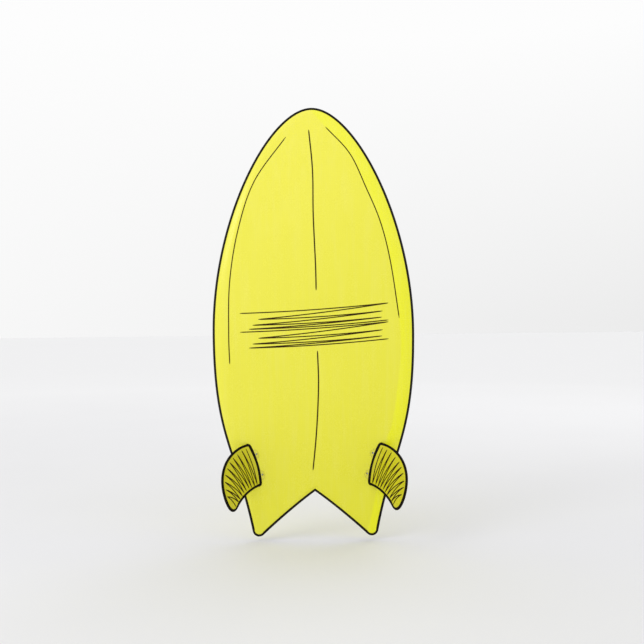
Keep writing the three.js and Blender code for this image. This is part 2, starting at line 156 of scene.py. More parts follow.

# its foil: a slender lip, a nearly flat inner face, and an outer face that is fine at the trailing
# edge and turns as round as the leading edge towards the top
FIN_LIP, FIN_LIP_REACH = 0.5, 1.2
FIN_INNER_REACH = 9
FIN_TAIL_POWER = 1.7
FIN_BLEND_FROM = 0.7

# foot of the fin: its lowest rows, the flare on to the board, and the bead of resin round it
FOOT_ROWS = [0, 1, 2.2, 3.6, 5.2]
BEAD_ROWS = [0, 0.8, 1.6, 2.5, 3.4]
BEAD_LIFTS = [0.3, 0.9, 1.1, 0.8, -0.2]
BEAD_UNDER = -0.25
BEAD_SPREAD = 1.6
FOOT_FLARE_INNER = 6.3
FOOT_FLARE_OUTER = 4.1
FOOT_FADE = 7
FOOT_WINDOW_POWER = 0.7
FOOT_SEAT = 25
HALO_WIDTH = 6.2
HALO_WIDER_AT_TIP = 2.6
HALO_WIDER_BEHIND = 1.2

# hatching: its turns start at a share of each edge, spread over another share, and keep inside it
HATCH_TURNS = 10
HATCH_FRONT = {"start": 0.04, "spread": 0.96, "inside": 13}
HATCH_REAR = {"start": 0.03, "spread": 0.64, "inside": 10}
HATCH_CENTRE = Vector((78, 62))
HATCH_SHAKE = (2, 1.5)
HATCH_BOW = (3, 5)
HATCH_WIDTH = 3.3
HATCH_SEEDS = {"right": 3, "left": 8}

# tabs and plugs, by their places along the base of the fin
TAB_SIZE = (18, 14, 6.2)
TAB_ROUNDING = 1.1
TAB_RISE, SLOT_RISE = 2, 12
TAB_OVERLAP = 1
TABS = {"front": 30, "rear": 90}
PLUG_RADIUS = 15
PLUG_DEPTH = 17
PLUG_INBOARD = 5
PLUG_CHAMFER = 1
PLUG_EDGE = 0.4
PLUG_SUNK = 0.02
HOLE_REACH = 6

# grub screws
SCREW_RADIUS = 2.5
SCREW_LENGTH = 4.9
SCREW_TILT = math.radians(25)
SCREW_STAND_OFF = 1.5
SCREW_DOWN_TAB = 12
SCREW_HOLE_TOP = 24
THREAD_PITCH, THREAD_DEPTH = 0.8, 0.3
THREAD_RISE, THREAD_CREST = 0.35, 0.5
POINT_LENGTH, POINT_INSET = 0.5, 0.7
PLAIN_END = 0.4
END_CHAMFER = 0.25
KEY_ACROSS_FLATS = 2.5
KEY_DEPTH = 2.4

# leash cup and its pin
CUP_X, CUP_Z = 28, -400
CUP_RADIUS = 14
CUP_RIM = 16
CUP_BORE = 10.5
CUP_DEPTH = 15.5
CUP_FLOOR = 2
CUP_RIM_HEIGHT = 1.5
CUP_ROUNDING = 0.7
PIN_RADIUS = 1.75
PIN_LENGTH = 25
PIN_CHAMFER = 0.3
PIN_DEPTH = 6

# how far off the rays start that find the surface under a pen line, a foot, a hatch and a plug
LINE_RAYS, FOOT_RAYS, HATCH_RAYS, PLUG_RAYS = 200, 60, 40, 30


# ---------- finishes ----------


def linear(code):
    """An sRGB hex colour as linear RGBA."""
    parts = [int(code[i : i + 2], 16) / 255 for i in (0, 2, 4)]
    return [p / 12.92 if p <= 0.04045 else ((p + 0.055) / 1.055) ** 2.4 for p in parts] + [1]


def per(size):
    """Noise scale for marks this many millimetres across."""
    return 1 / (size * MM)


def add(tree, kind, inputs=None, **settings):
    """Adds a node with its settings and returns its first output. An input is named, or counted
    among those shown, and takes a value, an sRGB hex colour or another node's output. Mix counts
    a share and two colours, MapRange a value, the range it comes from and the one it goes to."""
    made = tree.nodes.new("ShaderNode" + kind)
    for name, value in settings.items():
        setattr(made, name, value)
    shown = [s for s in made.inputs if s.enabled]
    for key, value in (inputs or {}).items():
        socket = shown[key] if isinstance(key, int) else made.inputs[key]
        if isinstance(value, bpy.types.NodeSocket):
            tree.links.new(value, socket)
        else:
            socket.default_value = linear(value) if isinstance(value, str) else value
    return next(s for s in made.outputs if s.enabled)


def new_finish(name, roughness, ior=1.5, metallic=0.0, specular=0.5):
    """A new material, its node tree, and the place on the board in metres."""
    made = bpy.data.materials.new(name)
    made.use_nodes = True
    shader = made.node_tree.nodes["Principled BSDF"]
    given = {"Roughness": roughness, "IOR": ior, "Metallic": metallic, "Specular IOR Level": specular}
    for key, value in given.items():
        shader.inputs[key].default_value = value
    place = add(made.node_tree, "TexCoord").node.outputs["Object"]
    return made, made.node_tree, place


def coat(made, colour, roughness, height, depth):
    """Puts a colour, a roughness and a relief of a depth in millimetres on the surface."""
    tree = made.node_tree
    bump = add(tree, "Bump", {"Height": height, "Distance": depth * MM, "Strength": 1.0})
    shader = tree.nodes["Principled BSDF"]
    for key, value in {"Base Color": colour, "Roughness": roughness, "Normal": bump}.items():
        tree.links.new(value, shader.inputs[key])
    return made


def cloth_threads(tree, place, spacing):
    """Plain-woven glass cloth: threads along the board crossing threads over it."""
    # a wave texture repeats every pi/10 of a scaled unit
    scale = math.pi / 10 / (spacing * MM)
    warp = add(tree, "TexWave", {"Vector": place, "Scale": scale}, bands_direction="X")
    weft = add(tree, "TexWave", {"Vector": place, "Scale": scale}, bands_direction="Z")
    return add(tree, "Math", {0: warp, 1: weft}, operation="MAXIMUM")


def pigmented_laminate(name, lit_tint, shaded_tint, pooled, panel=None):
    """Fibreglass laminate in pigmented polyester resin, squeegeed on, hot coated, sanded and
    gloss coated. The eye gets one clean colour with painted light on it, paler towards the nose
    and the left rail and darker towards the right tail tip, and, where panel tints are given, a
    painted highlight in a brighter band along the right rail; with faint pools of thicker
    pigment and squeegee drag, the cloth as a whisper, and a soft gloss with a little orange peel."""
    made, tree, place = new_finish(name, 0.22, ior=1.55, specular=0.35)
    # painted light along a slant: darker at the right tail tip, paler towards the left of the nose
    light_slant = add(tree, "Mapping", {"Vector": place, "Rotation": (0, LIGHT_SLANT_TURN, 0)})
    along = add(tree, "SeparateXYZ", {0: light_slant}).node.outputs["Z"]
    lit_share = add(tree, "MapRange", {0: along, 1: -LIGHT_SLANT_REACH * MM, 2: LIGHT_SLANT_REACH * MM})
    colour = add(tree, "Mix", {0: lit_share, 1: shaded_tint, 2: lit_tint}, data_type="RGBA")
    cloud = add(tree, "TexNoise", {"Vector": place, "Scale": per(230), "Detail": 3.0})
    pools = add(tree, "MapRange", {0: cloud, 1: 0.4, 2: 0.75, 4: 0.3})
    colour = add(tree, "Mix", {0: pools, 1: colour, 2: pooled}, data_type="RGBA")
    if panel:
        # painted highlight along the right rail: millimetres outboard of the edge of its brighter
        # band, kept on the mesh
        edge = add(tree, "Attribute", attribute_name="panel").node.outputs["Fac"]
        inside = add(tree, "MapRange", {0: edge, 1: -HIGHLIGHT_SOFT_EDGE, 2: HIGHLIGHT_SOFT_EDGE})
        bright = add(tree, "Mix", {0: lit_share, 1: panel[1], 2: panel[0]}, data_type="RGBA")
        colour = add(tree, "Mix", {0: inside, 1: colour, 2: bright}, data_type="RGBA")
    # squeegee drag: soft streaks 14 mm wide, drawn out along the board
    long = add(tree, "Mapping", {"Vector": place, "Scale": (1.0, 1.0, 0.06)})
    drag = add(tree, "TexNoise", {"Vector": long, "Scale": per(14)})
    streak = add(tree, "MapRange", {0: drag, 1: 0.45, 2: 0.75, 4: 0.07})
    colour = add(tree, "Mix", {0: streak, 1: colour, 2: "fffbb0"}, data_type="RGBA")
    # real threads lie 1.5 mm apart; drawn at 5 mm so that they show at all
    threads = cloth_threads(tree, place, 5)
    shade = add(tree, "MapRange", {0: threads, 4: 0.05})
    colour = add(tree, "Mix", {0: shade, 1: colour, 2: "8f8a12"}, data_type="RGBA")
    # sanding leaves the gloss uneven over patches 60 mm across, with scuffs 4 mm across in them
    patches = add(tree, "TexNoise", {"Vector": place, "Scale": per(60), "Detail": 4.0})
    scuffs = add(tree, "TexNoise", {"Vector": place, "Scale": per(4), "Detail": 4.0})
    sanding = add(tree, "Math", {0: patches, 1: scuffs}, operation="ADD")
    gloss = add(tree, "MapRange", {0: sanding, 1: 0.7, 2: 1.3, 3: 0.18, 4: 0.32})
    # orange peel in waves 7 mm across
    peel = add(tree, "TexNoise", {"Vector": place, "Scale": per(7), "Detail": 1.0})
    return coat(made, colour, gloss, peel, 0.05)


def black_resin_band():
    """Black-pigmented polyester resin, poured between tapes and sanded flush, left unpolished:
    near black with a warm cast and a dull sheen, broken by sanding haze."""
    made, tree, place = new_finish("black_resin", 0.55, specular=0.08)
    cloud = add(tree, "TexNoise", {"Vector": place, "Scale": per(35), "Detail": 5.0})
    haze = add(tree, "MapRange", {0: cloud, 1: 0.4, 2: 0.75})
    colour = add(tree, "Mix", {0: haze, 1: "0b0702", 2: "161006"}, data_type="RGBA")
    gloss = add(tree, "MapRange", {0: haze, 3: 0.5, 4: 0.62})
    peel = add(tree, "TexNoise", {"Vector": place, "Scale": per(5)})
    return coat(made, colour, gloss, peel, 0.04)


def paint_pen():
    """Acrylic paint-pen line on the sanded hot coat: dark brown-black and satin, paler and
    rougher where the pen ran dry."""
    made, tree, place = new_finish("paint_pen", 0.6, specular=0.1)
    skips = add(tree, "TexNoise", {"Vector": place, "Scale": per(9), "Detail": 3.0})
    dry = add(tree, "MapRange", {0: skips, 1: 0.45, 2: 0.75})
    colour = add(tree, "Mix", {0: dry, 1: "2e1f03", 2: "4a3606"}, data_type="RGBA")
    gloss = add(tree, "MapRange", {0: dry, 3: 0.55, 4: 0.7})
    beads = add(tree, "TexNoise", {"Vector": place, "Scale": per(3)})
    return coat(made, colour, gloss, beads, 0.04)


def pressed_fin_panel():
    """Fin cut from a pressed fibreglass panel, foiled by grinding, tinted olive-yellow and
    glossed. The cloth shows through the tint, with a slight mottle from the grinding."""
    made, tree, place = new_finish("fin_laminate", 0.25, ior=1.55, specular=0.35)
    cloud = add(tree, "TexNoise", {"Vector": place, "Scale": per(40), "Detail": 4.0})
    mottle = add(tree, "MapRange", {0: cloud, 1: 0.3, 2: 0.7})
    colour = add(tree, "Mix", {0: mottle, 1: "d7d11a", 2: "cac412"}, data_type="RGBA")
    # real threads lie 1.5 mm apart; drawn at 3 mm so that they show on the small blade
    threads = cloth_threads(tree, place, 3)
    shade = add(tree, "MapRange", {0: threads, 4: 0.1})
    colour = add(tree, "Mix", {0: shade, 1: colour, 2: "86810a"}, data_type="RGBA")
    rubs = add(tree, "TexNoise", {"Vector": place, "Scale": per(12), "Detail": 4.0})
    gloss = add(tree, "MapRange", {0: rubs, 1: 0.3, 2: 0.7, 3: 0.22, 4: 0.36})
    return coat(made, colour, gloss, threads, 0.02)


def moulded_nylon(name, fresh, rubbed):
    """Glass-filled nylon, injection moulded: matt from a spark-eroded mould, paler where rubbed."""
    made, tree, place = new_finish(name, 0.5, ior=1.53)
    cloud = add(tree, "TexNoise", {"Vector": place, "Scale": per(6), "Detail": 4.0})
    wear = add(tree, "MapRange", {0: cloud, 1: 0.45, 2: 0.7})
    colour = add(tree, "Mix", {0: wear, 1: fresh, 2: rubbed}, data_type="RGBA")
    gloss = add(tree, "MapRange", {0: wear, 3: 0.42, 4: 0.6})
    grain = add(tree, "TexNoise", {"Vector": place, "Scale": per(0.6)})
    return coat(made, colour, gloss, grain, 0.03)


def turned_stainless():
    """A4 stainless steel, turned on a lathe: bright grey with fine tool lines and dull spots."""
    made, tree, place = new_finish("turned_stainless", 0.28, metallic=1.0)
    spots = add(tree, "TexNoise", {"Vector": place, "Scale": per(2), "Detail": 4.0})
    colour = add(tree, "Mix", {0: spots, 1: "b4b7b9", 2: "d4d5d6"}, data_type="RGBA")
    gloss = add(tree, "MapRange", {0: spots, 1: 0.3, 2: 0.7, 3: 0.2, 4: 0.36})
    lines = add(tree, "TexNoise", {"Vector": place, "Scale": per(0.3), "Detail": 3.0})
    return coat(made, colour, gloss, lines, 0.01)


def bead_foam(name, bead_colour, gap_colour, bead):
    """Moulded bead foam, cut with a hot wire and planed: matt, every bead a small low cell."""
    made, tree, place = new_finish(name, 0.9, ior=1.45)
    cells = add(tree, "TexVoronoi", {"Vector": place, "Scale": per(bead)})
    edge = add(tree, "MapRange", {0: cells, 1: 0.25, 2: 0.6})
    colour = add(tree, "Mix", {0: edge, 1: bead_colour, 2: gap_colour}, data_type="RGBA")
    gloss = add(tree, "MapRange", {0: edge, 3: 0.82, 4: 0.96})
    return coat(made, colour, gloss, cells, 0.3)


def sawn_basswood():
    """Basswood strip, sawn and glued between the foam halves: pale, with straight fine grain."""
    made, tree, place = new_finish("sawn_basswood", 0.65)
    long = add(tree, "Mapping", {"Vector": place, "Scale": (1.0, 1.0, 0.03)})
    grain = add(tree, "TexNoise", {"Vector": long, "Scale": per(3), "Detail": 5.0})
    share = add(tree, "MapRange", {0: grain, 1: 0.35, 2: 0.7})
    colour = add(tree, "Mix", {0: share, 1: "d6b27c", 2: "a97a40"}, data_type="RGBA")
    gloss = add(tree, "MapRange", {0: grain, 3: 0.55, 4: 0.75})
    return coat(made, colour, gloss, grain, 0.1)


def studio_paper():
    """Matt studio paper with painted shade: a darker grey under and around the board, paler
    further away from it, with the faintest cloudiness and tooth."""
    made, tree, place = new_finish("studio_paper", 0.95)
    # painted shade: darker grey within 0.8 m of the middle of the board, fading to pale grey 6 m out
    away = add(tree, "VectorMath", {0: place}, operation="LENGTH")
    out_of_painted_shade = add(tree, "MapRange", {0: away, 1: 0.8, 2: 6.0})
    colour = add(tree, "Mix", {0: out_of_painted_shade, 1: "dddddf", 2: "f1f1f2"}, data_type="RGBA")
    cloud = add(tree, "TexNoise", {"Vector": place, "Scale": per(700)})
    faint = add(tree, "MapRange", {0: cloud, 4: 0.15})
    colour = add(tree, "Mix", {0: faint, 1: colour, 2: "fafafa"}, data_type="RGBA")
    gloss = add(tree, "MapRange", {0: cloud, 3: 0.92, 4: 1.0})
    tooth = add(tree, "TexNoise", {"Vector": place, "Scale": per(2)})
    return coat(made, colour, gloss, tooth, 0.02)


# ---------- shaping tools ----------


def bezier(points, t):
    """The point at t from 0 to 1 on the curve that these points steer."""
    while len(points) > 1:
        points = [a.lerp(b, t) for a, b in zip(points, points[1:])]
    return points[0]


def drawn_through(points, steps):
    """A smooth run through plan points, with so many steps between each pair."""
    points = [Vector(p) for p in points]
    ends = [2 * points[0] - points[1], *points, 2 * points[-1] - points[-2]]
    run = []
    for a, b, c, d in zip(ends, ends[1:], ends[2:], ends[3:]):
        for i in range(steps):
            t = i / steps
            curl = 2 * a - 5 * b + 4 * c - d + t * (3 * b - 3 * c + d - a)
            run.append(b + 0.5 * t * (c - a + t * curl))
    return [*run, points[-1]]


def bowed(a, b, bow, steps):
    """A stroke between two plan points that bulges sideways."""
    side = Vector((a.y - b.y, b.x - a.x)).normalized()
    return [bezier([a, a.lerp(b, 0.5) + 2 * bow * side, b], i / steps) for i in range(steps + 1)]


def lengths_along(run):
    """How far along a run each of its points lies."""
    lengths = [0.0]
    for a, b in zip(run, run[1:]):
        lengths.append(lengths[-1] + (b - a).length)
    return lengths


def heading(run, i):
    """The direction of a run at one of its points."""
    return (run[min(i + 1, len(run) - 1)] - run[max(i - 1, 0)]).normalized()


def evenly(curve, count, start=0.0):
    """Points at even distances along a curve, from a start on it to its end."""
    steps = 600
    fine = [curve(start + (1 - start) * i / steps) for i in range(steps + 1)]
    lengths = lengths_along(fine)
    points, k = [], 0
    for i in range(count + 1):
        goal = lengths[-1] * i / count
        while k < steps - 1 and lengths[k + 1] < goal:
            k += 1
        share = (goal - lengths[k]) / (lengths[k + 1] - lengths[k])
        points.append(fine[k].lerp(fine[k + 1], min(share, 1)))
    return points


def keep(bm, name):
    """Ends the work on a mesh and keeps it under a name."""
    mesh = bpy.data.meshes.new(name)
    bm.to_mesh(mesh)
    bm.free()
    return mesh


def lofted(name, columns, around=False, capped=False):
    """A mesh through equally long columns of points in millimetres."""
    bm = bmesh.new()
    grid = [[bm.verts.new(p * MM) for p in column] for column in columns]
    for a, b in zip(grid, grid[1:] + grid[:1] if around else grid[1:]):
        for k in range(len(a) - 1):
            bm.faces.new((a[k], b[k], b[k + 1], a[k + 1]))
    weld = 0.001 * MM
    bmesh.ops.remove_doubles(bm, verts=bm.verts, dist=weld)
    if capped:
        bmesh.ops.holes_fill(bm, edges=bm.edges)
    bmesh.ops.recalc_face_normals(bm, faces=bm.faces)
    return keep(bm, name)


def facing(mesh, way):
    """Turns an open skin over if most of it faces away from a direction."""
    if sum(p.normal.dot(way) * p.area for p in mesh.polygons) < 0:
        mesh.flip_normals()


def turned(name, profile, steps):
    """A piece turned from (radius, height) points in millimetres that start and end on the axis,
    with so many sides."""
    bm = bmesh.new()
    rings = []
    for radius, height in profile:
        if radius == 0:
            rings.append([bm.verts.new((0, 0, height * MM))] * steps)
            continue
        turns = [2 * math.pi * i / steps for i in range(steps)]
        spots = [(radius * math.cos(a), radius * math.sin(a), height) for a in turns]
        rings.append([bm.verts.new(Vector(s) * MM) for s in spots])
    for low, high in zip(rings, rings[1:]):
        for i in range(steps):
            j = (i + 1) % steps
            bm.faces.new(list(dict.fromkeys((low[i], low[j], high[j], high[i]))))
    bmesh.ops.recalc_face_normals(bm, faces=bm.faces)
    return keep(bm, name)


def bar(radius, low, high, steps):
    """A plain round bar, to cut a hole with."""
    return turned("bar", [(0, low), (radius, low), (radius, high), (0, high)], steps)


def rounded_block(name, sizes, edge):
    """A block with rounded edges, centred on its own middle."""
    bm = bmesh.new()
    bmesh.ops.create_cube(bm, size=1.0)
    bmesh.ops.scale(bm, vec=Vector(sizes) * MM, verts=bm.verts)
    bmesh.ops.bevel(
        bm, geom=bm.edges[:], offset=edge * MM, segments=3, profile=0.5, affect="EDGES"
    )
    return keep(bm, name)


def put(mesh, origin, x, y, z):
    """Moves a mesh so that its own axes lie along three directions at an origin."""
    mesh.transform(Matrix.Translation(origin * MM) @ Matrix((x, y, z)).transposed().to_4x4())
    return mesh


def link(name, held):
    """An object that holds a mesh, a light or a camera, put in the scene."""
    made = bpy.data.objects.new(name, held)
    bpy.context.scene.collection.objects.link(made)
    return made


def worked(mesh, kind, others=(), **settings):
    """The mesh after a modifier, once for each other mesh or once without any."""
    body = link("bench", mesh)
    helpers = [link("tool", other) for other in others]
    for helper in helpers or [None]:
        step = body.modifiers.new("step", kind)
        if helper:
            step.object = helper
        for key, value in settings.items():
            setattr(step, key, value)
    result = body.evaluated_get(bpy.context.evaluated_depsgraph_get())
    done = bpy.data.meshes.new_from_object(result)
    done.name = mesh.name
    for used in [body, *helpers]:
        bpy.data.objects.remove(used)
    return done


def cut(mesh, tools):
    return worked(mesh, "BOOLEAN", tools, operation="DIFFERENCE", solver="EXACT")


def fused(mesh, others):
    return worked(mesh, "BOOLEAN", others, operation="UNION", solver="EXACT")


def mirrored(mesh):
    """The same mesh for the other side of the stringer."""
    other = mesh.copy()
    other.transform(Matrix.Diagonal((-1, 1, 1, 1)))
    other.flip_normals()
    return other


def sided(mesh, hand):
    """A copy of a right-hand mesh for either hand."""
    return mesh.copy() if hand == "right" else mirrored(mesh)


def together(name, meshes):
    """One mesh that holds them all."""
    bm = bmesh.new()
    for mesh in meshes:
        bm.from_mesh(mesh)
    return keep(bm, name)


def soften(mesh):
    """Smooth shading, with every sharper edge kept crisp."""
    bm = bmesh.new()
    bm.from_mesh(mesh)
    for face in bm.faces:
        face.smooth = True
    for edge in bm.edges:
        edge.smooth = len(edge.link_faces) == 2 and edge.calc_face_angle(0) < SHARP
    bm.to_mesh(mesh)
    bm.free()


def piece(name, mesh, body, material, slot, *stands_for):
    """One finished piece of the board on the body it moves with."""
    soften(mesh)
    mesh.materials.clear()
    mesh.materials.append(material)
    made = link(name, mesh)
    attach(made, body)
    if stands_for:
        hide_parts(*stands_for)


# ---------- shape of the board ----------


def bottom_line(z):
    """How high the bottom lies along the stringer, at a place up the board."""
    nose = max(0, (z - ROCKER_START_Z) / (NOSE_Z - ROCKER_START_Z))
    tail = max(0, (ROCKER_START_Z - z) / (ROCKER_START_Z + NOSE_Z))
    lift = NOSE_ROCKER * nose**NOSE_ROCKER_POWER + TAIL_ROCKER * tail**TAIL_ROCKER_POWER
    return lift - THICKNESS


def deck_line(z):
    """How high the deck lies along the stringer."""
    run = NOSE_Z - DECK_FLAT_HALF
    nose = max(0, (z - DECK_FLAT_HALF) / run)
    tail = max(0, (-z - DECK_FLAT_HALF) / run)
    return DECK_NOSE_RISE * nose**2 - DECK_TAIL_DROP * tail**2


def tail_tip(t):
    """The round end of the right tail tip, in plan."""
    angle = TIP_START + (TIP_END - TIP_START) * t
    return TIP_CENTRE + TIP_RADIUS * Vector((math.cos(angle), math.sin(angle)))


def outline_curves():
    """The four curves of the right half of the outline, from the nose round to the notch."""
    wide = Vector((HALF_WIDTH, WIDE_Z))
    forward = Vector((-math.sin(TIP_START), math.cos(TIP_START)))
    shoulder = Vector((HALF_WIDTH, SHOULDER_Z))
    nose = [Vector((0, NOSE_Z)), Vector((NOSE_HANDLE, NOSE_Z)), shoulder, wide]
    hip = [wide, Vector((HALF_WIDTH, HIP_Z)), tail_tip(0) + HIP_HANDLE * forward, tail_tip(0)]
    notch = [tail_tip(1), NOTCH_BOW, Vector((0, NOTCH_Z))]
    return lambda t: bezier(nose, t), lambda t: bezier(hip, t), tail_tip, lambda t: bezier(notch, t)


def half_ribs():
    """Ribs of the right half: start on the spine, end on the outline, how square they meet it."""
    nose, hip, tip, notch = outline_curves()
    fork = [FORK_START.lerp(FORK_END, i / FORK_RIBS) for i in range(FORK_RIBS + 1)]
    above = HIP_RIBS - FORK_RIBS
    laid = [(nose, i / NOSE_RIBS, None) for i in range(NOSE_RIBS + 1)]
    laid += [(hip, i / HIP_RIBS, None) for i in range(1, above)]
    laid += [(hip, i / HIP_RIBS, fork[i - above]) for i in range(above, HIP_RIBS + 1)]
    laid += [(tip, i / TIP_RIBS, fork[-1]) for i in range(1, TIP_RIBS + 1)]
    laid += [(notch, i / FORK_RIBS, fork[FORK_RIBS - i]) for i in range(1, FORK_RIBS + 1)]
    ribs = []
    near = 1e-4
    for curve, t, start in laid:
        edge = curve(t)
        start = start or Vector((0, min(edge.y, SPINE_HIGH)))
        along = (curve(min(t + near, 1)) - curve(max(t - near, 0))).normalized()
        ribs.append((start, edge, abs((edge - start).normalized().cross(along))))
    return ribs


def stations(reach, square):
    """Places along a rib as (side, roll angle, inset) for the bottom, the rail band and the deck."""
    low = BOTTOM_ROLL_LEAST + BOTTOM_ROLL_SHARE * reach
    high = DECK_ROLL * reach
    quarter = math.pi / 2
    band_low = math.acos(1 - BAND_ON_BOTTOM / square / low)
    band_high = math.acos(1 - BAND_ON_DECK / square / high)

    def flat(side, a, b, steps):
        return [(side, quarter, a + (b - a) * i / steps) for i in range(steps + 1)]

    def roll(side, width, a, b, steps):
        angles = [a + (b - a) * i / steps for i in range(steps + 1)]
        return [(side, angle, width * (1 - math.cos(angle))) for angle in angles]

    flat_steps, roll_steps = BOTTOM_STEPS
    bottom = flat(-1, reach, low, flat_steps)[:-1] + roll(-1, low, quarter, band_low, roll_steps)
    below_steps, above_steps = BAND_STEPS
    band = roll(-1, low, band_low, 0, below_steps)[:-1] + roll(1, high, 0, band_high, above_steps)
    roll_steps, flat_steps = DECK_STEPS
    deck = roll(1, high, band_high, quarter, roll_steps)[:-1] + flat(1, high, reach, flat_steps)
    return bottom, band, deck


def shell_point(start, edge, side, angle, inset):
    """A point of the board's surface on the rib from start to edge; side is -1 below, 1 above."""
    spot = edge.lerp(start, inset / (edge - start).length)
    bottom, deck = bottom_line(spot.y), deck_line(spot.y)
    apex = bottom + APEX_SHARE * (deck - bottom)
    limit = bottom if side < 0 else deck
    return Vector((spot.x, apex + (limit - apex) * math.sin(angle), spot.y))


def drawn_back(column, first, last):
    """Pulls the ends of a column back by the seam."""
    if first:
        column[0] = column[0] + (column[1] - column[0]).normalized() * SEAM
    if last:
        column[-1] = column[-1] + (column[-2] - column[-1]).normalized() * SEAM
    return column


def board_skins():
    """Open skins for the bottom, the rail band and the deck."""
    parts = ([], [], [])
    for start, edge, square in half_ribs():
        for part, places in zip(parts, stations((edge - start).length, square)):
            part.append([shell_point(start, edge, *place) for place in places])
    ends = ((False, True), (True, True), (True, False))
    skins = []
    for name, part, pulled in zip(("bottom", "rail", "deck"), parts, ends):
        columns = [drawn_back(column, *pulled) for column in part]
        left = [[Vector((-p.x, p.y, p.z)) for p in column] for column in columns[-2:0:-1]]
        skins.append(lofted(name, columns + left, around=True))
    bottom, rail, deck = skins
    facing(bottom, Vector((0, -1, 0)))
    facing(deck, Vector((0, 1, 0)))
    if sum((p.center * Vector((1, 0, 1))).dot(p.normal) for p in rail.polygons) < 0:
        rail.flip_normals()
    return bottom, rail, deck


def glassed(skin):
    """A skin with its real thickness, inwards."""
    return worked(skin, "SOLIDIFY", thickness=GLASS * MM, offset=-1)


def tree_of(mesh):
    """The mesh as a surface that rays can be dropped on."""
    bm = bmesh.new()
    bm.from_mesh(mesh)
    made = BVHTree.FromBMesh(bm)
    bm.free()
    return made


def mark_rail_highlight(mesh):
    """Keeps on each point of the bottom how far outboard it lies of the edge of the painted highlight
    along the right rail.
    """
    run = drawn_through([HIGHLIGHT_NOSE, *RAIL_LINE_AND_HIGHLIGHT_EDGE, *HIGHLIGHT_TAIL], HIGHLIGHT_STEPS)
    nearest = KDTree(len(run))
    for i, p in enumerate(run):
        nearest.insert((p.x, p.y, 0), i)
    nearest.balance()
    outboard = mesh.attributes.new("panel", "FLOAT", "POINT")
    for vertex, kept in zip(mesh.vertices, outboard.data):
        spot = Vector((vertex.co.x, vertex.co.z)) / MM
        i = nearest.find((spot.x, spot.y, 0))[1]
        kept.value = heading(run, i).cross(spot - run[i])


# ---------- pen lines ----------


def pen_line(surface, run, place, way, width):
    """A low bead of paint along a run of plan points, thinner at its ends. place turns a plan
    point into a start for dropping it on the surface along a direction."""
    lengths = lengths_along(run)
    rings = []
    for i, spot in enumerate(run):
        along = heading(run, i)
        across = Vector((-along.y, along.x))
        near = min(1.0, min(lengths[i], lengths[-1] - lengths[i]) / LINE_TAPER)
        half = width / 2 * (LINE_END_SHARE + (1 - LINE_END_SHARE) * math.sqrt(near))
        ring = []
        for share, lift in LINE_SECTION:
            hit, normal = surface.ray_cast(place(spot + across * half * share) * MM, way)[:2]
            if hit is None:
                break
            up = -normal if normal.dot(way) > 0 else normal
            ring.append(hit / MM + up * LINE_HEIGHT * lift)
        else:
            rings.append([*ring, ring[0]])
    return lofted("line", rings, capped=True)


def board_lines(surface):
    """The pen lines on the bottom: two stringer strokes, a line inside each rail, and the
    scribble across the middle, drawn twice."""

    def below(p):
        return Vector((p.x, -LINE_RAYS, p.y))

    def lay(run, width=LINE_WIDTH):
        return pen_line(surface, run, below, Vector((0, 1, 0)), width)

    middle = (UPPER_STRINGER_LINE, LOWER_STRINGER_LINE)
    stringer = [lay(drawn_through(run, CURVE_STEPS), STRINGER_LINE_WIDTH) for run in middle]
    rails = [lay(drawn_through(run, CURVE_STEPS)) for run in (LEFT_RAIL_LINE, RAIL_LINE_AND_HIGHLIGHT_EDGE)]
    scribble = []
    for drop in (0, SCRIBBLE_DROP):
        pairs = zip(SCRIBBLE_LEFT, SCRIBBLE_RIGHT)
        turns = [Vector((x, z + drop)) for pair in pairs for x, z in pair]
        for i, (a, b) in enumerate(zip(turns, turns[1:])):
            scribble.append(lay(bowed(a, b, SCRIBBLE_BOWS[i % 2], STROKE_STEPS)))
    groups = {"stringer_lines": stringer, "rail_lines": rails, "middle_scribble": scribble}
    return {name: together(name, lines) for name, lines in groups.items()}


# ---------- fins ----------


def lead_edge(t):
    return bezier(FIN_LEADING, t)


def trail_edge(t):
    if t < FIN_TIP_FROM:
        return bezier(FIN_TRAILING, t / FIN_TIP_FROM)
    return bezier(FIN_TIP, (t - FIN_TIP_FROM) / (1 - FIN_TIP_FROM))


def share_at(edge, up):
    """How far along an edge of the fin it reaches a height above the base line."""
    low, high = 0.0, 0.5
    halvings = 24
    for _ in range(halvings):
        half = (low + high) / 2
        low, high = (half, high) if edge(half).y < up else (low, half)
    return low


def foot_window(along):
    """How full the foot's flare is: 0 at the two ends of the base, 1 halfway."""
    front, rear = FIN_LEADING[0].x, FIN_TRAILING[0].x
    chord = min(1, max(0, (along - front) / (rear - front)))
    return max(0.0, math.sin(math.pi * chord)) ** FOOT_WINDOW_POWER


def edge_ribs(curve, leading):
    """Ribs from the middle line to one edge, base to top: (start, end, halo width, blend),
    where blend takes the foil of the trailing side over to that of the leading side."""
    foot = len(FOOT_ROWS) - 1
    ends = [curve(share_at(curve, up)) for up in FOOT_ROWS[:-1]]
    ends += evenly(curve, FIN_RIBS, share_at(curve, FOOT_ROWS[-1]))
    ribs = []
    for i, end in enumerate(ends):
        if i < foot:
            start = Vector((FIN_MIDDLE[0].x, FOOT_ROWS[i]))
        else:
            share = min(1.0, (i - foot) / (FIN_MIDDLE_TO * FIN_RIBS))
            low = FOOT_ROWS[-1] / FIN_MIDDLE[-1].y
            start = bezier(FIN_MIDDLE, low * (1 - share) + share)
            start = start if share else Vector((FIN_MIDDLE[0].x, FOOT_ROWS[-1]))
        near = heading(ends, i)
        square = max(FIN_LEAST_SQUARE, abs((end - start).normalized().cross(near)))
        rise = i / (len(ends) - 1)
        wide = HALO_WIDTH + HALO_WIDER_AT_TIP * abs(near.x)
        wide = (wide + (0 if leading else HALO_WIDER_BEHIND * (1 - rise))) / square
        blend = 1.0 if leading else max(0.0, (rise - FIN_BLEND_FROM) / (1 - FIN_BLEND_FROM)) ** 2
        ribs.append((start, end, wide, blend))
    return ribs


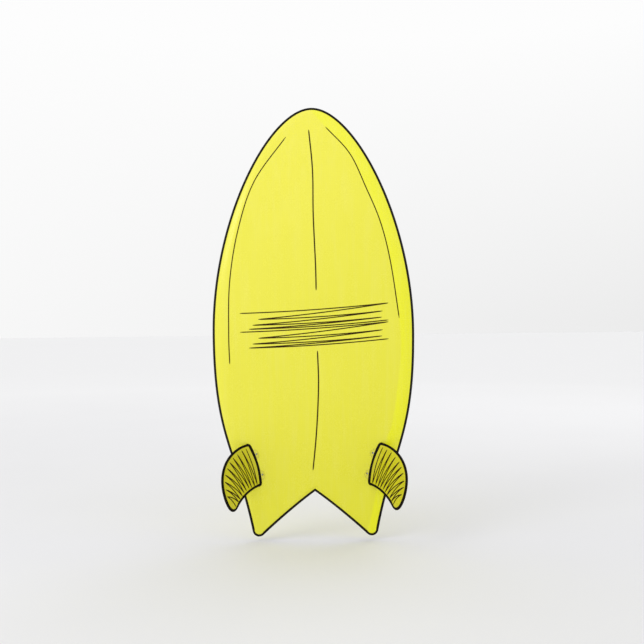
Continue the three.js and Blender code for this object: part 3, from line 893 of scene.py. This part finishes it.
def foil_point(rib, inset, face):
    """Along, up and inward of the surface at an inset from the edge; face is 1 on the inner
    side of the fin and -1 on its outer side."""
    start, end, _, blend = rib
    reach = (end - start).length
    q = min(1.0, inset / reach)
    spot = end.lerp(start, q)
    thick = FIN_THICK_ROOT + (FIN_THICK_TIP - FIN_THICK_ROOT) * spot.y / FIN_TOP_UP
    lip = FIN_LIP * math.sqrt(1 - (1 - min(1, inset / FIN_LIP_REACH)) ** 2)
    if face > 0:
        foil = FIN_INNER_SHARE * math.sqrt(1 - (1 - min(1, inset / FIN_INNER_REACH)) ** 2)
        flare = FOOT_FLARE_INNER
    else:
        round_nose = math.sqrt(q * (2 - q))
        fine_tail = 1 - (1 - q) ** FIN_TAIL_POWER
        foil = (1 - FIN_INNER_SHARE) * (fine_tail + (round_nose - fine_tail) * blend)
        flare = FOOT_FLARE_OUTER
    window = foot_window(spot.x)
    bulge = lip + (thick - FIN_LIP) * foil + flare * math.exp(-spot.y / FOOT_FADE) * window
    return spot.x, spot.y, face * (bulge if inset else 0.0)


class Fin:
    """The right-hand fin, in its place on the bottom: its directions and its pieces."""

    def __init__(self, bottom):
        self.bottom = bottom
        self.front = Vector((FIN_FRONT.x, bottom_line(FIN_FRONT.y), FIN_FRONT.y))
        rear = Vector((FIN_REAR.x, bottom_line(FIN_REAR.y), FIN_REAR.y))
        self.back = (rear - self.front).normalized()
        self.down = (Vector((0, -1, 0)) + self.back * self.back.y).normalized()
        self.side = self.down.cross(self.back).normalized()
        self.blade = self.down * math.cos(FIN_CANT) + self.side * math.sin(FIN_CANT)
        self.inner = self.back.cross(self.blade)
        self.ribs = edge_ribs(lead_edge, True), edge_ribs(trail_edge, False)

    def at(self, along, up, inward):
        """A place in the fin's own directions, as one on the board."""
        return self.front + self.back * along + self.blade * up + self.inner * inward

    def seated(self, along, up, inward):
        """A point of the fin, with its foot brought down on to the bottom of the board."""
        fade = max(0.0, 1 - up / FOOT_SEAT) ** 2
        if not fade:
            return self.at(along, up, inward)
        drop = self.bottom.ray_cast(self.at(along, FOOT_RAYS, inward) * MM, -self.blade)[3] / MM
        rest = FOOT_RAYS - drop + GAP / math.cos(FIN_CANT)
        return self.at(along, up + rest * fade, inward)

    def column(self, rib, insets):
        """Points over the inner face and back over the outer face, at insets from the edge."""
        inside = [self.seated(*foil_point(rib, d, 1)) for d in insets]
        outside = [self.seated(*foil_point(rib, d, -1)) for d in reversed(insets)]
        return inside + (outside[1:] if insets[-1] == 0 else outside)

    def all_round(self, column_of):
        """Columns from the foot of the leading edge over the top to the foot of the trailing one."""
        lead, trail = self.ribs
        return [column_of(rib) for rib in lead] + [column_of(rib) for rib in trail[-2::-1]]

    def panel_mesh(self):
        """The pressed panel inside the halo, with its two tabs."""

        def across(rib):
            reach = (rib[1] - rib[0]).length
            inner = rib[2] + SEAM
            steps = 12
            return self.column(rib, [reach + (inner - reach) * k / steps for k in range(steps + 1)])

        panel = lofted("panel", self.all_round(across), capped=True)
        return fused(panel, [self.tab(along, 0) for along in TABS.values()])

    def tab(self, along, clearance):
        """One tab, or its slot when grown by a clearance and left open at the top."""
        length, depth, thick = (size + 2 * clearance for size in TAB_SIZE)
        rise = SLOT_RISE if clearance else TAB_RISE
        block = rounded_block("tab", (length, depth + rise, thick), TAB_ROUNDING)
        for vertex in block.vertices:
            # the head of a tab slopes with the bottom and reaches a little into the panel
            if vertex.co.y > 0 and not clearance:
                vertex.co.y -= vertex.co.z * math.tan(FIN_CANT) + (rise - TAB_OVERLAP) * MM
        centre = self.at(along, (rise - depth) / 2 + clearance, 0)
        return put(block, centre, self.back, self.blade, self.inner)

    def halo_mesh(self):
        """The black resin bead round the edge of the panel."""

        def across(rib):
            wide = rib[2] - SEAM
            steps, crowding = 7, 1.5
            column = self.column(rib, [wide * (1 - k / steps) ** crowding for k in range(steps + 1)])
            return [*column, column[0]]

        return lofted("halo", self.all_round(across), capped=True)

    def foot_mesh(self):
        """The black resin bead round the foot: a ring with a low rounded section, taller towards
        the two ends, where the foot doesn't flare."""
        steps, crowding = 16, 1.4
        shares = [1 - (1 - k / steps) ** crowding for k in range(steps + 1)]
        walk = [(0, s, 1) for s in shares] + [(1, s, 1) for s in shares[-2::-1]]
        walk += [(1, s, -1) for s in shares[1:]] + [(0, s, -1) for s in shares[-2:0:-1]]
        edges = (lead_edge, trail_edge)
        foot = [edge(0) for edge in edges]
        loops = []
        for row in BEAD_ROWS:
            loop = []
            for which, share, face in walk:
                window = foot_window(foot[which].lerp(FIN_MIDDLE[0], share).x)
                up = row * (1 + BEAD_SPREAD * (1 - window))
                end = edges[which](share_at(edges[which], up))
                rib = (Vector((FIN_MIDDLE[0].x, up)), end, 0, 1 - which)
                loop.append(foil_point(rib, (rib[1] - rib[0]).length * share, face))
            loops.append(loop)
        columns = []
        for k in range(len(walk)):
            out, under = [], []
            for loop, lift in zip(loops, BEAD_LIFTS):
                before, here, after = loop[k - 1], loop[k], loop[(k + 1) % len(loop)]
                away = Vector((before[2] - after[2], after[0] - before[0])).normalized()
                for row, height in ((out, lift), (under, BEAD_UNDER)):
                    along, inward = here[0] + away.x * height, here[2] + away.y * height
                    row.append(self.seated(along, here[1], inward))
            columns.append([*out, *reversed(under), out[0]])
        return lofted("foot", columns, around=True)

    def hatch_mesh(self, panel, seed):
        """Pen hatching on the inner face: one zigzag between the two edges, up to the tip."""
        surface = tree_of(panel)
        hand = random.Random(seed)
        fine = 200
        front, rear = evenly(lead_edge, fine), evenly(trail_edge, fine)

        def over(p):
            return self.at(p.x, p.y, HATCH_RAYS)

        ends = []
        for i in range(HATCH_TURNS):
            share = i / (HATCH_TURNS - 1)
            for edge, laid in ((front, HATCH_FRONT), (rear, HATCH_REAR)):
                spot = edge[int(fine * (laid["start"] + laid["spread"] * share))]
                ends.append(spot + (HATCH_CENTRE - spot).normalized() * laid["inside"])
        along, up = HATCH_SHAKE
        ends = [p + Vector((hand.uniform(-along, along), hand.uniform(-up, up))) for p in ends]
        strokes = []
        for a, b in zip(ends, ends[1:]):
            run = bowed(a, b, hand.uniform(*HATCH_BOW) * (-1 if a.x < b.x else 1), STROKE_STEPS)
            strokes.append(pen_line(surface, run, over, -self.inner, HATCH_WIDTH))
        return together("hatch", strokes)


# ---------- plugs and grub screws, by a place along the base of a fin ----------


def plug_place(fin, along):
    """The middle of a plug's face, and the plug's own three directions."""
    seat = fin.front + fin.back * along - fin.side * PLUG_INBOARD
    return seat, fin.back, fin.down.cross(fin.back), fin.down


def plug_hole(fin, along):
    """The round hole for a plug, through the bottom."""
    return put(bar(PLUG_RADIUS + GAP, -HOLE_REACH, HOLE_REACH, steps=72), *plug_place(fin, along))


def plug_mesh(fin, along):
    """A nylon plug flush with the bottom, with the slot for a tab and a tapped screw hole."""
    shoulder = PLUG_RADIUS - PLUG_CHAMFER
    profile = [(0, -PLUG_DEPTH), (shoulder, -PLUG_DEPTH), (PLUG_RADIUS, PLUG_CHAMFER - PLUG_DEPTH)]
    profile += [(PLUG_RADIUS, -PLUG_EDGE), (PLUG_RADIUS - PLUG_EDGE, 0)]
    # rings on its face, so that it can bend with the bottom
    profile += [(PLUG_RADIUS * eighths / 8, 0) for eighths in (7, 5, 3)] + [(0, 0)]
    place = plug_place(fin, along)
    body = put(turned("plug", profile, steps=72), *place)
    for vertex in body.vertices:
        height = (vertex.co - place[0] * MM).dot(fin.down)
        if height > -MM:
            above = vertex.co + fin.down * PLUG_RAYS * MM
            hit = fin.bottom.ray_cast(above, -fin.down)[0]
            if hit:
                vertex.co = hit + fin.down * (min(height, 0) - PLUG_SUNK * MM)
    return cut(body, [fin.tab(along, GAP), screw_hole(fin, along)])


def screw_place(fin, along):
    """The middle of a screw's end at the tab, and the screw's own three directions."""
    axis = fin.down * math.cos(SCREW_TILT) - fin.side * math.sin(SCREW_TILT)
    start = fin.at(along, -SCREW_DOWN_TAB, TAB_SIZE[2] / 2)
    return start, fin.back, axis.cross(fin.back), axis


def screw_hole(fin, along):
    hole = bar(SCREW_RADIUS + GAP, -SCREW_STAND_OFF, SCREW_HOLE_TOP, steps=40)
    return put(hole, *screw_place(fin, along))


def screw_mesh(fin, along):
    """A grub screw with a ring for each turn of its thread, a chamfered point and a hexagon socket."""
    root = SCREW_RADIUS - THREAD_DEPTH
    low, high = SCREW_STAND_OFF, SCREW_STAND_OFF + SCREW_LENGTH
    profile = [(0, low), (SCREW_RADIUS - POINT_INSET, low)]
    rings = int((SCREW_LENGTH - POINT_LENGTH - PLAIN_END) / THREAD_PITCH)
    for i in range(rings):
        foot = low + POINT_LENGTH + THREAD_PITCH * i
        crest = [foot + THREAD_RISE * THREAD_PITCH, foot + THREAD_CREST * THREAD_PITCH]
        profile += [(root, foot), *[(SCREW_RADIUS, height) for height in crest]]
    profile += [(root, high - PLAIN_END), (root, high - END_CHAMFER)]
    profile += [(root - END_CHAMFER, high), (0, high)]
    body = turned("screw", profile, steps=48)
    corner = KEY_ACROSS_FLATS / math.cos(math.radians(30)) / 2
    floor = high - KEY_DEPTH
    # the key's point drills a little deeper, and its shank stands clear of the screw
    point, shank = floor - 0.5, high + 2
    key = turned("key", [(0, point), (corner, floor), (corner, shank), (0, shank)], steps=6)
    return put(cut(body, [key]), *screw_place(fin, along))


# ---------- leash cup ----------


def cup_seat():
    """Where the underside of the rim lies: just above the highest deck under it."""
    highest = max(deck_line(CUP_Z - CUP_RIM), deck_line(CUP_Z + CUP_RIM))
    return Vector((CUP_X, highest + GAP, CUP_Z))


def along_deck(mesh):
    """Stands a turned piece on the deck at the leash cup."""
    return put(mesh, cup_seat(), Vector((0, 0, 1)), Vector((1, 0, 0)), Vector((0, 1, 0)))


def cup_hole():
    """The round hole for the cup, through the deck."""
    return along_deck(bar(CUP_RADIUS + GAP, -HOLE_REACH, HOLE_REACH, steps=96))


def pin_bar(radius, length, chamfer):
    """The pin across the cup, or its hole when it is larger."""
    half = length / 2
    profile = [(0, -half), (radius - chamfer, -half), (radius, chamfer - half)]
    profile += [(radius, half - chamfer), (radius - chamfer, half), (0, half)]
    seat = cup_seat() - Vector((0, PIN_DEPTH, 0))
    pin = turned("pin", profile, steps=40)
    return put(pin, seat, Vector((0, 1, 0)), Vector((0, 0, 1)), Vector((1, 0, 0)))


def cup_mesh():
    """A moulded leash cup: rounded rim lying on the deck, straight bore, and holes for its pin."""
    edge = CUP_ROUNDING

    def quarter(radius, height, start):
        steps = 4
        turns = [math.radians(start - 90 * k / steps) for k in range(steps, -1, -1)]
        return [(radius + edge * math.cos(a), height + edge * math.sin(a)) for a in turns]

    profile = [(0, -CUP_DEPTH), (CUP_RADIUS - edge, -CUP_DEPTH), (CUP_RADIUS, edge - CUP_DEPTH)]
    profile += [(CUP_RADIUS, 0), (CUP_RIM, 0)]
    top = CUP_RIM_HEIGHT - edge
    profile += quarter(CUP_RIM - edge, top, 90) + quarter(CUP_BORE + edge, top, 180)
    floor = CUP_FLOOR - CUP_DEPTH
    profile += [(CUP_BORE, floor + edge), (CUP_BORE - edge, floor), (0, floor)]
    cup = along_deck(turned("cup", profile, steps=96))
    return cut(cup, [pin_bar(PIN_RADIUS + GAP, PIN_LENGTH + 2 * GAP, chamfer=0.01)])


# ---------- building the board ----------

# the lit and shaded ends of the painted light on the laminate, then the tint of its pools
LIT_SHADED_POOLED_YELLOWS = "f4ee52", "ebe833", "e9e437"
# the bottom also gets the lit and shaded tints of the painted highlight along the right rail
YELLOW = pigmented_laminate("yellow_laminate", *LIT_SHADED_POOLED_YELLOWS, panel=("f4f23c", "f3f314"))
YELLOW_DECK = pigmented_laminate("yellow_deck_laminate", *LIT_SHADED_POOLED_YELLOWS)
BLACK = black_resin_band()
PEN = paint_pen()
FIN_PANEL = pressed_fin_panel()
PLUG_NYLON = moulded_nylon("plug_nylon", "dcd640", "e6e052")
CUP_NYLON = moulded_nylon("cup_nylon", "191817", "2c2a28")
STEEL = turned_stainless()

bottom_skin, rail_skin, deck_skin = board_skins()
bottom_surface = tree_of(bottom_skin)
right_fin = Fin(bottom_surface)

holes = [plug_hole(right_fin, along) for along in TABS.values()]
bottom = cut(glassed(bottom_skin), [*holes, *map(mirrored, holes)])
# the edge of the painted highlight along the right rail, kept on the bottom
mark_rail_highlight(bottom)
piece("bottom_glass", bottom, "board", YELLOW, "yellow_glass", "bottom_laminate")
deck = cut(glassed(deck_skin), [cup_hole()])
piece("deck_glass", deck, "board", YELLOW_DECK, "yellow_glass", "deck_laminate")
piece("black_rail", glassed(rail_skin), "board", BLACK, "black_glass", "rail_band")
for name, mesh in board_lines(bottom_surface).items():
    piece(name, mesh, "board", PEN, "black_glass")

panel = right_fin.panel_mesh()
halo = right_fin.halo_mesh()
foot = right_fin.foot_mesh()
for hand, seed in HATCH_SEEDS.items():
    body = f"{hand}_fin"
    hatch = right_fin.hatch_mesh(panel, seed)
    piece(f"fin_panel_{hand}", sided(panel, hand), body, FIN_PANEL, "fin_glass", f"fin_{hand}")
    piece(f"fin_halo_{hand}", sided(halo, hand), body, BLACK, "black_glass")
    piece(f"fin_foot_{hand}", sided(foot, hand), body, BLACK, "black_glass")
    piece(f"fin_hatch_{hand}", sided(hatch, hand), body, PEN, "black_glass")

for end, along in TABS.items():
    plug = plug_mesh(right_fin, along)
    screw = screw_mesh(right_fin, along)
    for hand in ("right", "left"):
        where = f"{hand}_{end}"
        made = sided(plug, hand)
        piece(f"plug_{where}", made, "board", PLUG_NYLON, "plug_nylon", f"fin_plug_{where}")
        made = sided(screw, hand)
        piece(f"grub_screw_{where}", made, f"{where}_screw", STEEL, "steel", f"fin_screw_{where}")

piece("cup_body", cup_mesh(), "board", CUP_NYLON, "cup_nylon", "leash_cup")
pin = pin_bar(PIN_RADIUS, PIN_LENGTH, PIN_CHAMFER)
piece("cup_pin", pin, "board", STEEL, "steel", "leash_pin")

blank_foam = bead_foam("blank_foam", "f4f3ee", "dcdad0", 3)
dense_foam = bead_foam("dense_foam", "9fc4d6", "7fa9bd", 1.5)
basswood = sawn_basswood()
inside = {
    "foam_core_right": blank_foam,
    "foam_core_left": blank_foam,
    "stringer": basswood,
    "fin_insert_right": dense_foam,
    "fin_insert_left": dense_foam,
    "leash_insert": dense_foam,
}
for name, material in inside.items():
    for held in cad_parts[name].material_slots:
        held.material = material

# ---------- studio, in metres ----------

FLOOR_Z = cad_low.z - 0.012
FLOOR_HALF = 40
# the camera faces the bottom, with a slight roll that makes the board lean
CAMERA_PLACE = (0.0243, -2.533, -0.0049)
CAMERA_ROLL = math.radians(0.6)
CAMERA_LENS = 50

floor_mesh = bpy.data.meshes.new("floor")
sides = ((-1, -1), (1, -1), (1, 1), (-1, 1))
corners = [(x * FLOOR_HALF, y * FLOOR_HALF, FLOOR_Z) for x, y in sides]
floor_mesh.from_pydata(corners, [], [range(4)])
floor_mesh.materials.append(studio_paper())
link("floor", floor_mesh)


def softbox(name, place, aim, size, power):
    """A round soft light at a place, turned to an aim, with its width and its power in watts."""
    light = bpy.data.lights.new(name, "AREA")
    light.shape = "DISK"
    light.size = size
    light.energy = power
    made = link(name, light)
    made.location = place
    made.rotation_euler = (Vector(aim) - Vector(place)).to_track_quat("-Z", "Y").to_euler()


softbox("key", place=(-2.4, -2.3, 1.8), aim=(0, 0, 0.1), size=1.8, power=24)
softbox("back_fill", place=(2.2, 3.4, 2.9), aim=(0, 0, 0), size=3.0, power=20)

# surroundings a little brighter on the left, and brighter still above the level of the board
world = bpy.data.worlds.new("studio")
world.use_nodes = True
sky = world.node_tree
ray = add(sky, "TexCoord").node.outputs["Generated"]
across = add(sky, "SeparateXYZ", {0: ray})
side = add(sky, "MapRange", {0: across, 1: -0.4, 2: 0.4})
low = add(sky, "Mix", {0: side, 1: "f8f8f8", 2: "ebebeb"}, data_type="RGBA")
rise = add(sky, "MapRange", {0: across.node.outputs["Z"], 1: 0.0, 2: 0.3})
shade = add(sky, "Mix", {0: rise, 1: low, 2: "fdfdfd"}, data_type="RGBA")
sky.links.new(shade, sky.nodes["Background"].inputs["Color"])
bpy.context.scene.world = world
bpy.context.scene.view_settings.view_transform = "Standard"

camera = link("camera", bpy.data.cameras.new("camera"))
camera.data.lens = CAMERA_LENS
camera.location = CAMERA_PLACE
camera.rotation_euler = (math.radians(90), CAMERA_ROLL, 0)
bpy.context.scene.camera = camera
